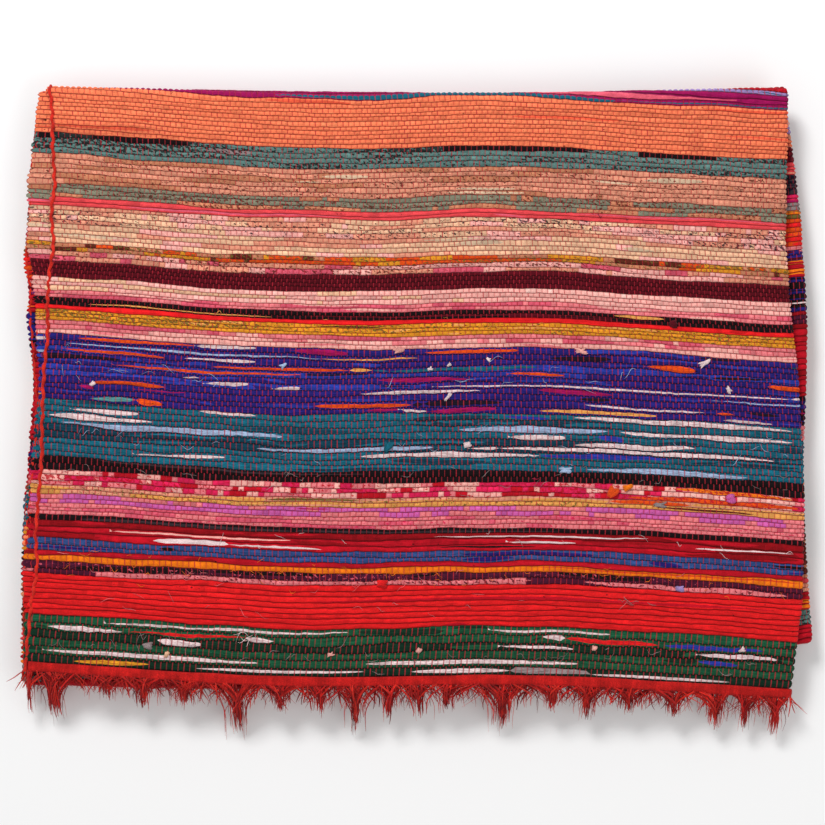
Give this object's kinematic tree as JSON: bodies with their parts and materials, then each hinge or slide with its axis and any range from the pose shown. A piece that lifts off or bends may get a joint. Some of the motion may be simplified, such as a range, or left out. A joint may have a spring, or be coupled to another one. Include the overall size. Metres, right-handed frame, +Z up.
{
  "type": "folded rag rug",
  "caption": "Handwoven striped rag rug with fringed ends, folded in half across and then back and forth along its length, lying flat for storage.",
  "frame": {"origin": "centre of the folded rug's outline, fringe included, on the surface that it lies on", "axes": "+Z up out of the stack; +X across the rug's width towards its long soft fold, with the selvedges at -X; +Y along the rug's length towards the folds at the back, with the fringed ends at -Y"},
  "size_m": [0.7952, 0.6588, 0.0466],
  "materials": {
    "rag_weave": "matte multicoloured cotton rags, woven in stripes",
    "red_warp_yarn": "matte red cotton yarn"
  },
  "bodies": {
    "root": {"woven_cloth": "rag_weave", "top_end_band": "red_warp_yarn", "under_end_band": "red_warp_yarn", "top_fringe": "red_warp_yarn", "under_fringe": "red_warp_yarn", "upper_selvedge_cord": "red_warp_yarn", "lower_selvedge_cord": "red_warp_yarn"}
  },
  "joints": []
}
